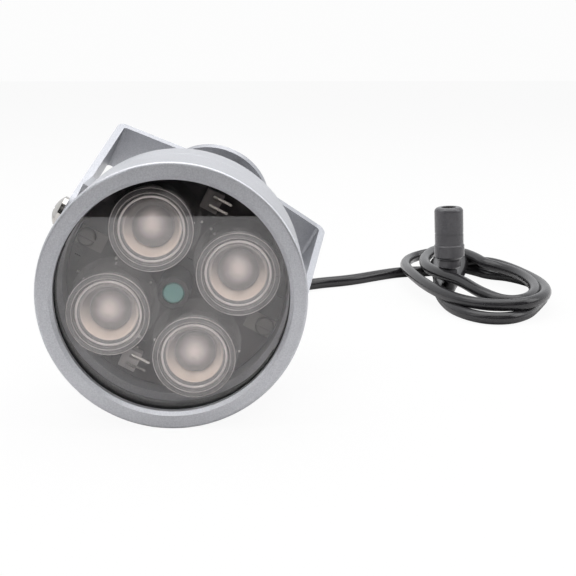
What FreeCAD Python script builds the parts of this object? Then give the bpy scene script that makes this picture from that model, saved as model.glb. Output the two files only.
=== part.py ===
"""Infrared illuminator: a round four-lens lamp in a U bracket, with its cord and power socket.

Lengths are in millimetres. The finished part stands on z = 0 with its window facing -Y, and the
origin lies under the middle of the lamp and bracket. Every round piece is drawn in the lamp's own
frame first: local Z points out of the window, local X runs along the bracket's pivots and depths
behind the front face are negative Z.
"""
import FreeCAD, Part
import math
import os
import Sketcher
from FreeCAD import Placement, Rotation, Vector

doc = FreeCAD.newDocument("infrared_illuminator")

# Driving dimensions

SIZES = [
    ("barrel_diameter", 68.0, "outside of the front barrel and the rear shell"),
    ("barrel_length", 22.3, "front face to the seam"),
    ("barrel_wall", 2.3, "wall of the front barrel round its bore"),
    ("face_round", 0.8, "rounding of the outer front edge"),
    ("lip_width", 4.4, "front lip from the barrel's outside to its opening"),
    ("mouth_chamfer", 0.9, "slope that leads into the opening"),
    ("lip_thickness", 2.6, "front lip, measured at the bore"),
    ("seam_chamfer", 0.2, "small chamfer each side of the seam"),
    ("fit_gap", 0.05, "clearance of one fixed piece inside another"),
    ("loose_gap", 0.2, "clearance of a loose fit"),
    ("running_gap", 0.06, "clearance of a moving fit, each side"),
    ("edge_break", 0.4, "small chamfers on turned edges"),
    ("gasket_thickness", 0.5, "flat gaskets"),
    ("glass_thickness", 2.0, "front window"),
    ("ring_thickness", 3.0, "retaining ring behind the window"),
    ("ring_width", 2.1, "radial width of the retaining ring"),
    ("notch_width", 3.0, "notches of the retaining ring"),
    ("shell_length", 16.9, "seam to the rear face"),
    ("shell_wall", 4.4, "wall of the rear shell"),
    ("shell_floor", 3.0, "rear wall"),
    ("rear_round", 2.2, "rounding of the rear edge"),
    ("spigot_length", 5.5, "shell that slides into the barrel"),
    ("spigot_wall", 2.05, "wall of that spigot"),
    ("ring_groove_depth", 1.45, "groove of the sealing ring"),
    ("ring_groove_width", 1.6, "groove of the sealing ring"),
    ("ear_flat", 0.55, "flat of each ear below the barrel's outside"),
    ("ear_half_width", 11.8, "half the width of an ear"),
    ("ear_root", 1.0, "depth of an ear's foot in the shell's wall"),
    ("pivot_place", 4.3, "rear face to the pivot axis"),
    ("thread_spare", 0.5, "threaded bores beyond the ends of their screws"),
    ("screw_radius", 2.2, "shank of a pivot screw"),
    ("screw_grip", 9.0, "pivot screw's length inside the shell"),
    ("head_radius", 4.3, "head of a pivot screw"),
    ("head_height", 3.0, "head of a pivot screw"),
    ("head_edge", 1.35, "upright edge of that head"),
    ("recess_arm", 2.1, "cross recess, from its middle"),
    ("recess_width", 0.9, "cross recess"),
    ("recess_depth", 1.4, "cross recess"),
    ("pillar_radius", 3.6, "two pillars that carry the lamp board"),
    ("pillar_inset", 3.2, "shell's inside to the middle of a pillar"),
    ("board_proud", 0.3, "lamp board in front of the seam"),
    ("board_gap", 0.4, "edge of the lamp board to the shell"),
    ("board_thickness", 1.6, "both circuit boards"),
    ("small_screw", 1.25, "shank radius of the board screws"),
    ("small_head", 2.5, "head radius of the board screws"),
    ("small_head_height", 1.6, "heads of the board screws"),
    ("small_head_round", 0.7, "rounding of those heads"),
    ("slot_width", 0.7, "slot in those heads"),
    ("slot_depth", 0.5, "slot in those heads"),
    ("tab_thickness", 0.5, "metal tab under a board screw"),
    ("tab_width", 5.0, "metal tab across the pivots' direction"),
    ("tab_outside", 2.4, "tab from its screw towards the barrel"),
    ("tab_inside", 5.2, "tab from its screw towards the lamp's axis"),
    ("lens_inset", 0.25, "foot of a lens to the retaining ring's inside"),
    ("lens_apart", 0.23, "half the gap between the feet of two lenses"),
    ("flange_width", 1.2, "foot of a lens beyond its wall"),
    ("flange_thickness", 1.0, "foot of a lens"),
    ("lens_gap", 0.5, "rim of a lens to the window"),
    ("lens_wall", 1.2, "side wall of a lens"),
    ("rim_width", 1.5, "flat rim round the front of a lens"),
    ("rim_step", 1.4, "rim above the lens plate"),
    ("rim_slope", 0.6, "slope inside the rim"),
    ("plate_thickness", 1.6, "front plate of a lens"),
    ("dome_inset", 3.9, "outside of a lens to the edge of its dome"),
    ("dome_height", 1.2, "rise of that dome"),
    ("emitter_radius", 7.4, "emitter and its reflector cup"),
    ("chip_radius", 3.6, "bulb of clear resin over the chips"),
    ("chip_rise", 2.6, "rise of that bulb"),
    ("cup_depth", 5.5, "reflector cup, foot to mouth"),
    ("cup_rim", 6.9, "mouth of the reflector cup"),
    ("cup_gap", 0.3, "cup to the lens plate"),
    ("collar_radius", 4.2, "dark collar round the light sensor"),
    ("collar_bore", 2.9, "bore of that collar"),
    ("collar_set_back", 1.4, "collar behind the rims of the lenses"),
    ("sensor_set_back", 0.8, "sensor below the collar's mouth"),
    ("sensor_thickness", 2.2, "light sensor"),
    ("block_inset", 5.2, "board's edge to the middle of a terminal block"),
    ("block_width", 8.0, "terminal block along the pivots' direction"),
    ("block_depth", 5.4, "terminal block across it"),
    ("block_height", 4.0, "terminal block above the board"),
    ("pin_radius", 0.45, "terminal pins"),
    ("pin_rise", 1.2, "terminal pins above their block"),
    ("pin_pitch", 3.8, "terminal pins, apart"),
    ("chip_height", 0.7, "small components on the lamp board"),
    ("can_gap", 1.0, "capacitor to the shell's rear wall"),
    ("spacer_radius", 2.0, "spacers between the boards"),
    ("spacer_place", 17.5, "lamp axis to a spacer"),
    ("driver_radius", 21.5, "driver board"),
    ("coil_radius", 4.4, "choke on the driver board"),
    ("coil_height", 5.0, "choke on the driver board"),
    ("choke_flange", 0.9, "each end of the choke"),
    ("choke_waist", 1.0, "winding of the choke below its ends"),
    ("can_radius", 4.0, "capacitor"),
    ("can_height", 5.6, "capacitor"),
    ("lead_radius", 0.6, "supply leads"),
    ("lead_place", 0.9, "lamp axis to each supply lead"),
    ("lead_end", 1.0, "supply leads inside the gland"),
    ("gland_thread", 6.0, "threaded barrel of the cord gland"),
    ("gland_flats", 15.0, "across the flats of gland and lock nut"),
    ("gland_collar", 3.2, "hexagon of the gland"),
    ("gland_nut_thickness", 2.6, "lock nut inside the shell"),
    ("thread_end", 0.8, "gland's thread beyond the lock nut"),
    ("collar_overlap", 0.5, "hexagon of the gland on its thread"),
    ("cap_radius", 6.9, "dome cap of the gland"),
    ("cap_length", 8.4, "dome cap of the gland"),
    ("cap_mouth", 2.7, "mouth of that cap"),
    ("cap_wall", 1.8, "end wall of that cap"),
    ("cap_slope", 0.6, "slope inside that wall"),
    ("cap_flat", 1.3, "flat ring round the cap's mouth"),
    ("cap_dome", 3.4, "length of the cap's dome"),
    ("cap_round", 5.2, "curve of the cap's dome"),
    ("seat_height", 2.0, "gland's thread above the cap's wall"),
    ("seat_width", 1.2, "funnel at the end of the gland's thread"),
    ("bush_set_back", 0.4, "rubber bush behind the cap's mouth"),
    ("sheet", 2.0, "bracket's sheet thickness"),
    ("arm_half_width", 7.4, "half the width of a bracket arm"),
    ("reach", 44.5, "pivot axis to the back of the bracket"),
    ("bend_radius", 1.2, "inside of the bracket's bends"),
    ("disc_radius", 17.0, "round middle of the bracket"),
    ("wing_half_width", 9.8, "bracket beside its round middle"),
    ("wing_place", 12.0, "where the wings reach that width"),
    ("hole_radius", 2.25, "mounting holes"),
    ("hole_circle", 24.0, "pitch circle of the mounting holes"),
    ("cord_radius", 2.2, "round cord"),
    ("coil_half_width", 30.0, "outer shape of the cord's coil"),
    ("coil_half_length", 60.0, "outer shape of the cord's coil"),
    ("coil_band", 19.0, "width of the coil's band"),
    ("coil_stack", 7.1, "height of the coil where the power socket stands on it"),
    ("relief_length", 8.0, "rubber strain relief of the power socket"),
    ("relief_foot", 2.9, "strain relief where the cord enters it"),
    ("relief_lower", 3.7, "length of that part"),
    ("relief_radius", 4.3, "upper part of the strain relief"),
    ("relief_gap", 0.7, "grooves round the strain relief"),
    ("relief_groove", 0.6, "depth of those grooves"),
    ("socket_length", 19.9, "body of the power socket"),
    ("socket_radius", 5.5, "body of the power socket"),
    ("socket_round", 1.6, "rounding of its mouth"),
    ("socket_swell", 5.8, "thicker ring round its foot"),
    ("swell_length", 5.1, "that thicker ring"),
    ("swell_round", 0.9, "chamfer under it"),
    ("line_place", 9.5, "fine groove above the body's foot"),
    ("line_width", 0.6, "fine groove round the body"),
    ("line_depth", 0.2, "fine groove round the body"),
    ("socket_bore", 2.8, "bore that takes the plug"),
    ("socket_depth", 10.5, "bore that takes the plug"),
    ("sleeve_set_back", 0.8, "metal sleeve behind the mouth"),
    ("sleeve_wall", 0.3, "metal sleeve in that bore"),
    ("centre_pin", 1.0, "radius of the contact pin in the bore"),
    ("pin_length", 8.5, "contact pin"),
    ("socket_lean", 2.7, "degrees that the power socket leans to the left"),
    ("roll", 28.0, "degrees that the lamp lies rolled over, right pivot down"),
    ("pitch", 25.0, "degrees that the bracket stands above the lamp's axis"),
]

sheet_object = doc.addObject("Spreadsheet::Sheet", "sizes")


class Size:
    """A length together with the sheet expression that it is worked out from."""

    def __init__(self, value, text):
        self.value = float(value)
        self.text = text

    def combine(self, other, sign, result):
        return Size(result, "(%s %s %s)" % (self.text, sign, other.text))

    def __add__(self, other):
        other = as_size(other)
        return self.combine(other, "+", self.value + other.value)

    def __sub__(self, other):
        other = as_size(other)
        return self.combine(other, "-", self.value - other.value)

    def __mul__(self, other):
        other = as_size(other)
        return self.combine(other, "*", self.value * other.value)

    def __truediv__(self, other):
        other = as_size(other)
        return self.combine(other, "/", self.value / other.value)

    def __neg__(self):
        return Size(-self.value, "(0 - %s)" % self.text)


def as_size(number):
    return number if isinstance(number, Size) else Size(number, repr(number))


def fill_sheet():
    """Write the driving dimensions down the sheet and return them by name."""
    named = {}
    for row, (alias, value, note) in enumerate(SIZES, start=1):
        sheet_object.set("A%d" % row, str(value))
        sheet_object.setAlias("A%d" % row, alias)
        sheet_object.set("B%d" % row, note)
        named[alias] = Size(value, "sizes." + alias)
    return named


size = fill_sheet()
doc.recompute()
barrel_radius = size["barrel_diameter"] / 2
bore_radius = barrel_radius - size["barrel_wall"]
lamp_length = size["barrel_length"] + size["shell_length"]
floor_depth = lamp_length - size["shell_floor"]
pivot_depth = lamp_length - size["pivot_place"]
board_depth = size["barrel_length"] - size["board_proud"]
window_depth = size["lip_thickness"] + size["gasket_thickness"] + size["glass_thickness"]
lens_height = board_depth - window_depth - size["lens_gap"]
plate_height = lens_height - size["rim_step"]
cup_top = plate_height - size["plate_thickness"] - size["cup_gap"]
cup_foot = cup_top - size["cup_depth"]
collar_height = lens_height - size["collar_set_back"]
mouth_radius = barrel_radius - size["lip_width"]
shell_inside = barrel_radius - size["shell_wall"]
ear_face = barrel_radius - size["ear_flat"]
pillar_place = shell_inside - size["pillar_inset"]
board_radius = shell_inside - size["board_gap"]
block_place = board_radius - size["block_inset"]
# Four equal circles, a small gap apart, that together touch the circle inside the retaining ring
lens_circle = bore_radius - size["fit_gap"] - size["ring_width"] - size["lens_inset"]
DIAGONAL = math.sqrt(2)
flange_radius = (lens_circle - size["lens_apart"] * DIAGONAL) / (1 + DIAGONAL)
lens_place = (flange_radius + size["lens_apart"]) * DIAGONAL
lens_radius = flange_radius - size["flange_width"]
driver_back = floor_depth - size["can_gap"] - size["can_height"]
spacer_length = driver_back - size["board_thickness"] * 2 - board_depth
arm_inside = ear_face + size["running_gap"]
arm_outside = arm_inside + size["sheet"]

# Drawing helpers


def bind(target, path, length):
    """Tie one property to the sheet expression behind a length."""
    if "sizes." in length.text:
        target.setExpression(path, length.text)


def origin_plane(body, role):
    return next(feature for feature in body.Origin.OriginFeatures if feature.Role == role)


def new_body(name):
    body = doc.addObject("PartDesign::Body", name)
    body.Label = name
    return body


def new_sketch(body, role, name, height=None):
    """A sketch on one of the body's own planes, or parallel to it at a height."""
    sketch = body.newObject("Sketcher::SketchObject", name)
    sketch.AttachmentSupport = [(origin_plane(body, role), "")]
    sketch.MapMode = "FlatFace"
    if height is not None:
        sketch.AttachmentOffset = Placement(Vector(0, 0, height.value), Rotation())
        bind(sketch, "AttachmentOffset.Base.z", height)
    return sketch


def hold_point(sketch, edge, end, x, y):
    """Hold one end of an edge at given coordinates, each tied to the sheet."""
    for kind, length in (("DistanceX", as_size(x)), ("DistanceY", as_size(y))):
        index = sketch.addConstraint(Sketcher.Constraint(kind, -1, 1, edge, end, length.value))
        bind(sketch, "Constraints[%d]" % index, length)


def draw_outline(sketch, corners, arcs=None):
    """Draw a closed outline through corners. arcs maps an edge to its radius and bulge side."""
    arcs = arcs or {}
    points = [Vector(as_size(x).value, as_size(y).value, 0) for x, y in corners]
    first = sketch.GeometryCount
    ends = []
    for index, start in enumerate(points):
        finish = points[(index + 1) % len(points)]
        if index in arcs:
            radius, side = arcs[index]
            chord = finish - start
            middle = (start + finish) / 2
            across = Vector(-chord.y, chord.x, 0).normalize()
            rise = radius.value - math.sqrt(radius.value ** 2 - chord.Length ** 2 / 4)
            edge = sketch.addGeometry(Part.Arc(start, middle + across * rise * side, finish), False)
            forward = (sketch.Geometry[edge].StartPoint - start).Length < 1e-6
            ends.append((1, 2) if forward else (2, 1))
        else:
            sketch.addGeometry(Part.LineSegment(start, finish), False)
            ends.append((1, 2))
    count = len(points)
    for index in range(count):
        following = (index + 1) % count
        sketch.addConstraint(Sketcher.Constraint(
            "Coincident", first + index, ends[index][1], first + following, ends[following][0]))
    for index, (x, y) in enumerate(corners):
        hold_point(sketch, first + index, ends[index][0], x, y)
    for index, (radius, side) in arcs.items():
        place = sketch.addConstraint(Sketcher.Constraint("Radius", first + index, radius.value))
        bind(sketch, "Constraints[%d]" % place, radius)


def draw_box(sketch, low_x, low_y, high_x, high_y):
    draw_outline(sketch, [(low_x, low_y), (high_x, low_y), (high_x, high_y), (low_x, high_y)])


def draw_circle(sketch, x, y, radius):
    x, y, radius = as_size(x), as_size(y), as_size(radius)
    edge = sketch.addGeometry(Part.Circle(Vector(x.value, y.value, 0), Vector(0, 0, 1), radius.value))
    hold_point(sketch, edge, 3, x, y)
    index = sketch.addConstraint(Sketcher.Constraint("Radius", edge, radius.value))
    bind(sketch, "Constraints[%d]" % index, radius)


def draw_hexagon(sketch, flats):
    """A hexagon about the origin with two corners on the X axis."""
    corner = flats / math.sqrt(3)
    draw_outline(sketch, [(corner * math.cos(math.radians(turn)), corner * math.sin(math.radians(turn)))
                          for turn in range(0, 360, 60)])


def extrude(body, kind, sketch, length, name, middle=False, backwards=False):
    """Pad or pocket a sketch by a length."""
    feature = body.newObject("PartDesign::" + kind, name)
    feature.Profile = sketch
    feature.Length = length.value
    bind(feature, "Length", length)
    feature.SideType = "Symmetric" if middle else "One side"
    feature.Reversed = backwards
    return feature


def pad(body, sketch, length, name, **options):
    return extrude(body, "Pad", sketch, length, name, **options)


def pocket(body, sketch, length, name, **options):
    """Cut a sketch out of the body, and make sure that the cut took something away."""
    doc.recompute()
    before = body.Shape.Volume
    feature = extrude(body, "Pocket", sketch, length, name, **options)
    doc.recompute()
    if not body.Shape.Volume < before - 1e-6:
        raise RuntimeError("%s: %s cuts nothing" % (body.Label, name))
    return feature


def turn_profile(body, name, corners, arcs=None):
    """Revolve an outline of (radius, height) corners about the body's own Z axis."""
    sketch = new_sketch(body, "XZ_Plane", name + "_outline")
    draw_outline(sketch, corners, arcs)
    feature = body.newObject("PartDesign::Revolution", name)
    feature.Profile = sketch
    feature.ReferenceAxis = (sketch, ["V_Axis"])
    feature.Angle = 360.0
    return feature


def turned_body(name, corners, arcs=None):
    body = new_body(name)
    turn_profile(body, "turning", corners, arcs)
    return body


def round_edges(body, radius, name, wanted):
    """Fillet the edges of the body's latest feature that a test picks."""
    doc.recompute()
    base = body.Tip
    names = ["Edge%d" % (i + 1) for i, edge in enumerate(base.Shape.Edges) if wanted(edge)]
    if not names:
        raise RuntimeError("%s: no edge for %s" % (body.Label, name))
    feature = body.newObject("PartDesign::Fillet", name)
    feature.Base = (base, names)
    feature.Radius = radius.value
    bind(feature, "Radius", radius)
    return feature


def is_round_edge(edge, radius, height):
    """True for a full circle of that radius about the Z axis at that height."""
    curve = edge.Curve
    if not isinstance(curve, Part.Circle):
        return False
    near_axis = math.hypot(curve.Center.x, curve.Center.y) < 1e-4
    right_size = abs(curve.Radius - radius.value) < 1e-4
    return near_axis and right_size and abs(curve.Center.z - height.value) < 1e-4


def group_body(name, solids):
    """Several separate copies of one small piece, kept together under one name."""
    feature = doc.addObject("Part::Feature", name)
    feature.Label = name
    feature.Shape = Part.makeCompound(solids)
    return feature


# Housing


def make_front_barrel():
    body = new_body("front_barrel")
    chamfer = size["seam_chamfer"]
    length = size["barrel_length"]
    mouth = mouth_radius
    slope = size["mouth_chamfer"]
    turn_profile(body, "turning", [
        (mouth + slope, 0),
        (barrel_radius, 0),
        (barrel_radius, chamfer - length),
        (barrel_radius - chamfer, -length),
        (bore_radius, -length),
        (bore_radius, -size["lip_thickness"]),
        (mouth, -size["lip_thickness"]),
        (mouth, -slope),
    ])
    round_edges(body, size["face_round"], "front_edge",
                lambda edge: is_round_edge(edge, barrel_radius, as_size(0)))
    return body


def make_rear_shell():
    """Cast cup with a spigot, two flat ears, two board pillars and the pivots' threads."""
    body = new_body("rear_shell")
    seam = -size["barrel_length"]
    chamfer = size["seam_chamfer"]
    spigot = bore_radius - size["fit_gap"]
    inside = shell_inside
    groove_top = seam + (size["spigot_length"] + size["ring_groove_width"]) / 2
    groove_low = groove_top - size["ring_groove_width"]
    groove = spigot - size["ring_groove_depth"]
    turn_profile(body, "turning", [
        (0, -lamp_length),
        (barrel_radius, -lamp_length),
        (barrel_radius, seam - chamfer),
        (barrel_radius - chamfer, seam),
        (spigot, seam),
        (spigot, groove_low),
        (groove, groove_low),
        (groove, groove_top),
        (spigot, groove_top),
        (spigot, seam + size["spigot_length"]),
        (inside, seam + size["spigot_length"]),
        (inside, -floor_depth),
        (0, -floor_depth),
    ])
    round_edges(body, size["rear_round"], "rear_edge",
                lambda edge: is_round_edge(edge, barrel_radius, -lamp_length))

    half = size["ear_half_width"]
    face = ear_face
    root = inside + size["ear_root"]
    ears = new_sketch(body, "XY_Plane", "ears_outline", -lamp_length)
    draw_box(ears, root, -half, face, half)
    draw_box(ears, -face, -half, -root, half)
    pad(body, ears, size["shell_length"], "ears")
    flats = new_sketch(body, "XY_Plane", "flats_outline", seam)
    draw_box(flats, face, -half, barrel_radius + size["sheet"], half)
    draw_box(flats, -(barrel_radius + size["sheet"]), -half, -face, half)
    pocket(body, flats, size["shell_length"], "flats")

    pillars = new_sketch(body, "XY_Plane", "pillars_outline", -floor_depth)
    for side in (-1, 1):
        draw_circle(pillars, pillar_place * side, 0, size["pillar_radius"])
    pillar_top = board_depth + size["board_thickness"]
    pad(body, pillars, floor_depth - pillar_top, "pillars")
    threads = new_sketch(body, "XY_Plane", "pillar_threads_outline", -pillar_top)
    for side in (-1, 1):
        draw_circle(threads, pillar_place * side, 0, size["small_screw"] + size["fit_gap"])
    pocket(body, threads, spacer_length + size["thread_spare"], "pillar_threads")

    for side, name in ((-1, "left"), (1, "right")):
        pivot = new_sketch(body, "YZ_Plane", name + "_pivot_outline", face * side)
        draw_circle(pivot, 0, -pivot_depth, size["screw_radius"] + size["fit_gap"])
        depth = size["screw_grip"] + size["thread_spare"]
        pocket(body, pivot, depth, name + "_pivot_thread", backwards=side < 0)

    outlet = new_sketch(body, "XY_Plane", "cord_outlet_outline", -floor_depth)
    draw_circle(outlet, 0, 0, size["gland_thread"] + size["fit_gap"])
    pocket(body, outlet, size["shell_floor"], "cord_outlet")
    return body


def flat_ring(name, outer, inner, top, thickness):
    """A plain turned ring, given its front height and thickness."""
    return turned_body(name, [(inner, top - thickness), (outer, top - thickness), (outer, top), (inner, top)])


def make_window_parts():
    """Window, its gasket and the ring that holds both against the lip."""
    fitted = bore_radius - size["fit_gap"]
    gasket_top = -size["lip_thickness"]
    glass_top = gasket_top - size["gasket_thickness"]
    ring_top = glass_top - size["glass_thickness"]
    gasket = flat_ring("window_gasket", fitted, mouth_radius + size["loose_gap"], gasket_top,
                       size["gasket_thickness"])
    glass = turned_body("front_window", [
        (0, ring_top), (fitted, ring_top), (fitted, glass_top), (0, glass_top)])
    ring = flat_ring("retaining_ring", fitted, fitted - size["ring_width"], ring_top,
                     size["ring_thickness"])
    notch = size["notch_width"] / 2
    notches = new_sketch(ring, "XY_Plane", "notches_outline", ring_top - size["ring_thickness"])
    for side in (-1, 1):
        middle = (fitted - size["ring_width"] / 2) * side
        draw_box(notches, middle - size["ring_width"], -notch, middle + size["ring_width"], notch)
    pocket(ring, notches, size["ring_thickness"] / 2, "spanner_notches", backwards=True)
    return [gasket, glass, ring]


def make_shell_ring():
    """Sealing ring in the groove of the spigot."""
    ring = doc.addObject("Part::Torus", "sealing_ring")
    ring.Label = "sealing_ring"
    spigot = bore_radius - size["fit_gap"]
    section = (size["ring_groove_depth"] - size["fit_gap"]) / 2
    bind(ring, "Radius2", section)
    bind(ring, "Radius1", spigot - size["ring_groove_depth"] / 2)
    return ring


# Light engine


def lens_angles():
    """Direction of each lens from the lamp's axis, in degrees from the pivots' axis."""
    return [45 + 90 * index for index in range(4)]


def lens_centre(angle):
    radius = lens_place.value
    return Vector(radius * math.cos(math.radians(angle)), radius * math.sin(math.radians(angle)), 0)


def make_lamp_board():
    body = new_body("lamp_board")
    front = -board_depth
    outline = new_sketch(body, "XY_Plane", "board_outline", front - size["board_thickness"])
    draw_circle(outline, 0, 0, board_radius)
    for side in (-1, 1):
        draw_circle(outline, pillar_place * side, 0, size["small_screw"] + size["loose_gap"])
    pad(body, outline, size["board_thickness"], "board")
    return body


def make_lens(number):
    """Clear bell: foot, side wall, raised rim and a plate with a shallow dome. Height 0 is its foot."""
    height = lens_height
    outer = lens_radius
    inside = outer - size["lens_wall"]
    rim_inside = outer - size["rim_width"]
    plate = plate_height
    ceiling = plate - size["plate_thickness"]
    edge = size["edge_break"]
    foot = size["flange_thickness"]
    dome = lens_radius - size["dome_inset"]
    rise = size["dome_height"]
    sphere = (dome * dome + rise * rise) / (rise * 2)
    return turned_body("lens_%d" % number, [
        (inside, 0),
        (flange_radius, 0),
        (flange_radius, foot),
        (outer, foot),
        (outer, height - edge),
        (outer - edge, height),
        (rim_inside, height),
        (rim_inside - size["rim_slope"], plate),
        (dome, plate),
        (0, plate + rise),
        (0, ceiling),
        (inside, ceiling),
    ], {8: (sphere, -1)})


def make_emitter(number):
    """Emitter post with its bulb of resin over the chips. Height 0 is the board."""
    radius = size["chip_radius"]
    rise = size["chip_rise"]
    sphere = (radius * radius + rise * rise) / (rise * 2)
    top = cup_foot
    return turned_body("emitter_%d" % number, [
        (0, 0),
        (size["emitter_radius"], 0),
        (size["emitter_radius"], top),
        (radius, top),
        (0, top + rise),
    ], {3: (sphere, -1)})


def make_reflector(number):
    """Conical cup on the emitter post, open at both ends. Height 0 is the board."""
    return turned_body("reflector_%d" % number, [
        (size["chip_radius"] + size["fit_gap"], cup_foot),
        (size["emitter_radius"], cup_foot),
        (size["emitter_radius"], cup_top),
        (size["cup_rim"], cup_top),
    ])


def make_sensor_parts():
    """Dark collar on the board's middle and the light sensor that it carries."""
    top = collar_height
    edge = size["edge_break"]
    shelf = top - size["sensor_set_back"] - size["sensor_thickness"]
    collar = turned_body("sensor_collar", [
        (size["collar_bore"] / 2, 0),
        (size["collar_radius"], 0),
        (size["collar_radius"], top - edge),
        (size["collar_radius"] - edge, top),
        (size["collar_bore"], top),
        (size["collar_bore"], shelf),
        (size["collar_bore"] / 2, shelf),
    ])
    fitted = size["collar_bore"] - size["fit_gap"]
    sensor = turned_body("light_sensor", [
        (0, shelf),
        (fitted, shelf),
        (fitted, shelf + size["sensor_thickness"] - edge),
        (fitted - edge, shelf + size["sensor_thickness"]),
        (0, shelf + size["sensor_thickness"]),
    ])
    return [collar, sensor]


def make_terminal_block(name):
    block = new_body(name)
    outline = new_sketch(block, "XY_Plane", "block_outline")
    wide = size["block_width"] / 2
    deep = size["block_depth"] / 2
    draw_box(outline, -wide, -deep, wide, deep)
    pad(block, outline, size["block_height"], "block")
    holes = new_sketch(block, "XY_Plane", "pin_holes_outline", size["block_height"])
    for side in (-1, 1):
        draw_circle(holes, size["pin_pitch"] / 2 * side, 0, size["pin_radius"] + size["fit_gap"])
    pocket(block, holes, size["block_height"], "pin_holes")
    return block


def make_terminal_pins():
    """Four straight pins, two in each terminal block."""
    pins = []
    length = size["block_height"].value + size["pin_rise"].value
    for block_side in (-1, 1):
        for pin_side in (-1, 1):
            foot = Vector(size["pin_pitch"].value / 2 * pin_side, block_place.value * block_side,
                          -board_depth.value)
            pins.append(Part.makeCylinder(size["pin_radius"].value, length, foot))
    return group_body("terminal_pins", pins)


def make_board_screws():
    """Two small screws, one in each pillar, each with a domed head."""
    tab_front = size["tab_thickness"].value - board_depth.value
    shank = size["tab_thickness"].value + size["board_thickness"].value + spacer_length.value
    radius = size["small_head"].value
    height = size["small_head_height"].value
    slot_width = size["slot_width"].value
    slot_depth = size["slot_depth"].value
    screws = []
    for side in (-1, 1):
        centre = Vector(pillar_place.value * side, 0, tab_front)
        head = Part.makeCylinder(radius, height, centre)
        rim = [edge for edge in head.Edges if edge.BoundBox.ZMin > tab_front + height / 2]
        head = head.makeFillet(size["small_head_round"].value, rim)
        stem = Part.makeCylinder(size["small_screw"].value, shank, centre - Vector(0, 0, shank))
        corner = centre + Vector(-radius, -slot_width / 2, height - slot_depth)
        slot = Part.makeBox(radius * 2, slot_width, slot_depth, corner)
        screws.append(head.fuse(stem).cut(slot))
    return group_body("board_screws", screws)


def make_screw_tabs():
    """Metal tab under each board screw, pointing towards the lamp's middle."""
    tabs = []
    thickness = size["tab_thickness"].value
    place = pillar_place.value
    outside, inside = size["tab_outside"].value, size["tab_inside"].value
    width = size["tab_width"].value
    hole_radius = size["small_screw"].value + size["loose_gap"].value
    for side in (-1, 1):
        hole = Part.makeCylinder(hole_radius, thickness, Vector(place * side, 0, -board_depth.value))
        low_x = min(side * (place + outside), side * (place - inside))
        corner = Vector(low_x, -width / 2, -board_depth.value)
        tab = Part.makeBox(outside + inside, width, thickness, corner)
        tabs.append(tab.cut(hole))
    return group_body("screw_tabs", tabs)


# Small flat components on the lamp board, clear of the lenses' feet: middle as shares of the
# board's radius along X and Y, then length and width
SURFACE_PLACES = [
    (0.202, 0.024, 1.6, 1.0),
    (0.209, -0.031, 1.25, 1.0),
    (-0.226, 0.0, 1.25, 2.0),
    (0.007, 0.223, 2.0, 1.25),
    (-0.003, -0.219, 1.6, 1.25),
    (0.664, 0.02, 1.25, 2.0),
    (-0.664, -0.017, 1.25, 2.0),
    (0.01, 0.661, 2.0, 1.25),
    (-0.014, -0.658, 2.0, 1.25),
    (0.901, 0.253, 1.6, 3.2),
    (-0.904, -0.247, 1.6, 3.2),
]


def make_surface_parts():
    parts = []
    radius = board_radius.value
    for x, y, long, wide in SURFACE_PLACES:
        corner = Vector(x * radius - long / 2, y * radius - wide / 2, -board_depth.value)
        parts.append(Part.makeBox(long, wide, size["chip_height"].value, corner))
    return group_body("surface_parts", parts)


# Middles of the choke and the capacitor on the driver board, outside the lock nut
CHOKE_PLACE = (-13.5, 3.0)
CAPACITOR_PLACE = (12.0, -7.5)


def make_driver_parts():
    """Driver board on three spacers behind the lamp board, with a choke and a capacitor."""
    lamp_back = board_depth + size["board_thickness"]
    front = lamp_back + spacer_length
    back = front + size["board_thickness"]
    board = new_body("driver_board")
    outline = new_sketch(board, "XY_Plane", "driver_outline", -back)
    draw_circle(outline, 0, 0, size["driver_radius"])
    pad(board, outline, size["board_thickness"], "board")
    spacers = []
    for index in range(3):
        turn = math.radians(90 + 120 * index)
        place = size["spacer_place"].value
        foot = Vector(place * math.cos(turn), place * math.sin(turn), -front.value)
        spacers.append(Part.makeCylinder(size["spacer_radius"].value, spacer_length.value, foot))
    choke_low = -back - size["coil_height"]
    flange = size["choke_flange"]
    waist = size["coil_radius"] - size["choke_waist"]
    choke = turned_body("choke", [
        (0, choke_low),
        (size["coil_radius"], choke_low),
        (size["coil_radius"], choke_low + flange),
        (waist, choke_low + flange),
        (waist, -back - flange),
        (size["coil_radius"], -back - flange),
        (size["coil_radius"], -back),
        (0, -back),
    ])
    edge = size["edge_break"]
    can = turned_body("capacitor", [
        (0, -back - size["can_height"]),
        (size["can_radius"] - edge, -back - size["can_height"]),
        (size["can_radius"], -back - size["can_height"] + edge),
        (size["can_radius"], -back),
        (0, -back),
    ])
    leads = []
    for side in (-1, 1):
        start = Vector(size["lead_place"].value * side, 0, -back.value)
        length = floor_depth.value + size["lead_end"].value - back.value
        leads.append(Part.makeCylinder(size["lead_radius"].value, length, start, Vector(0, 0, -1)))
    return [board, group_body("board_spacers", spacers), choke, can, group_body("supply_leads", leads)]


# Gland


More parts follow.
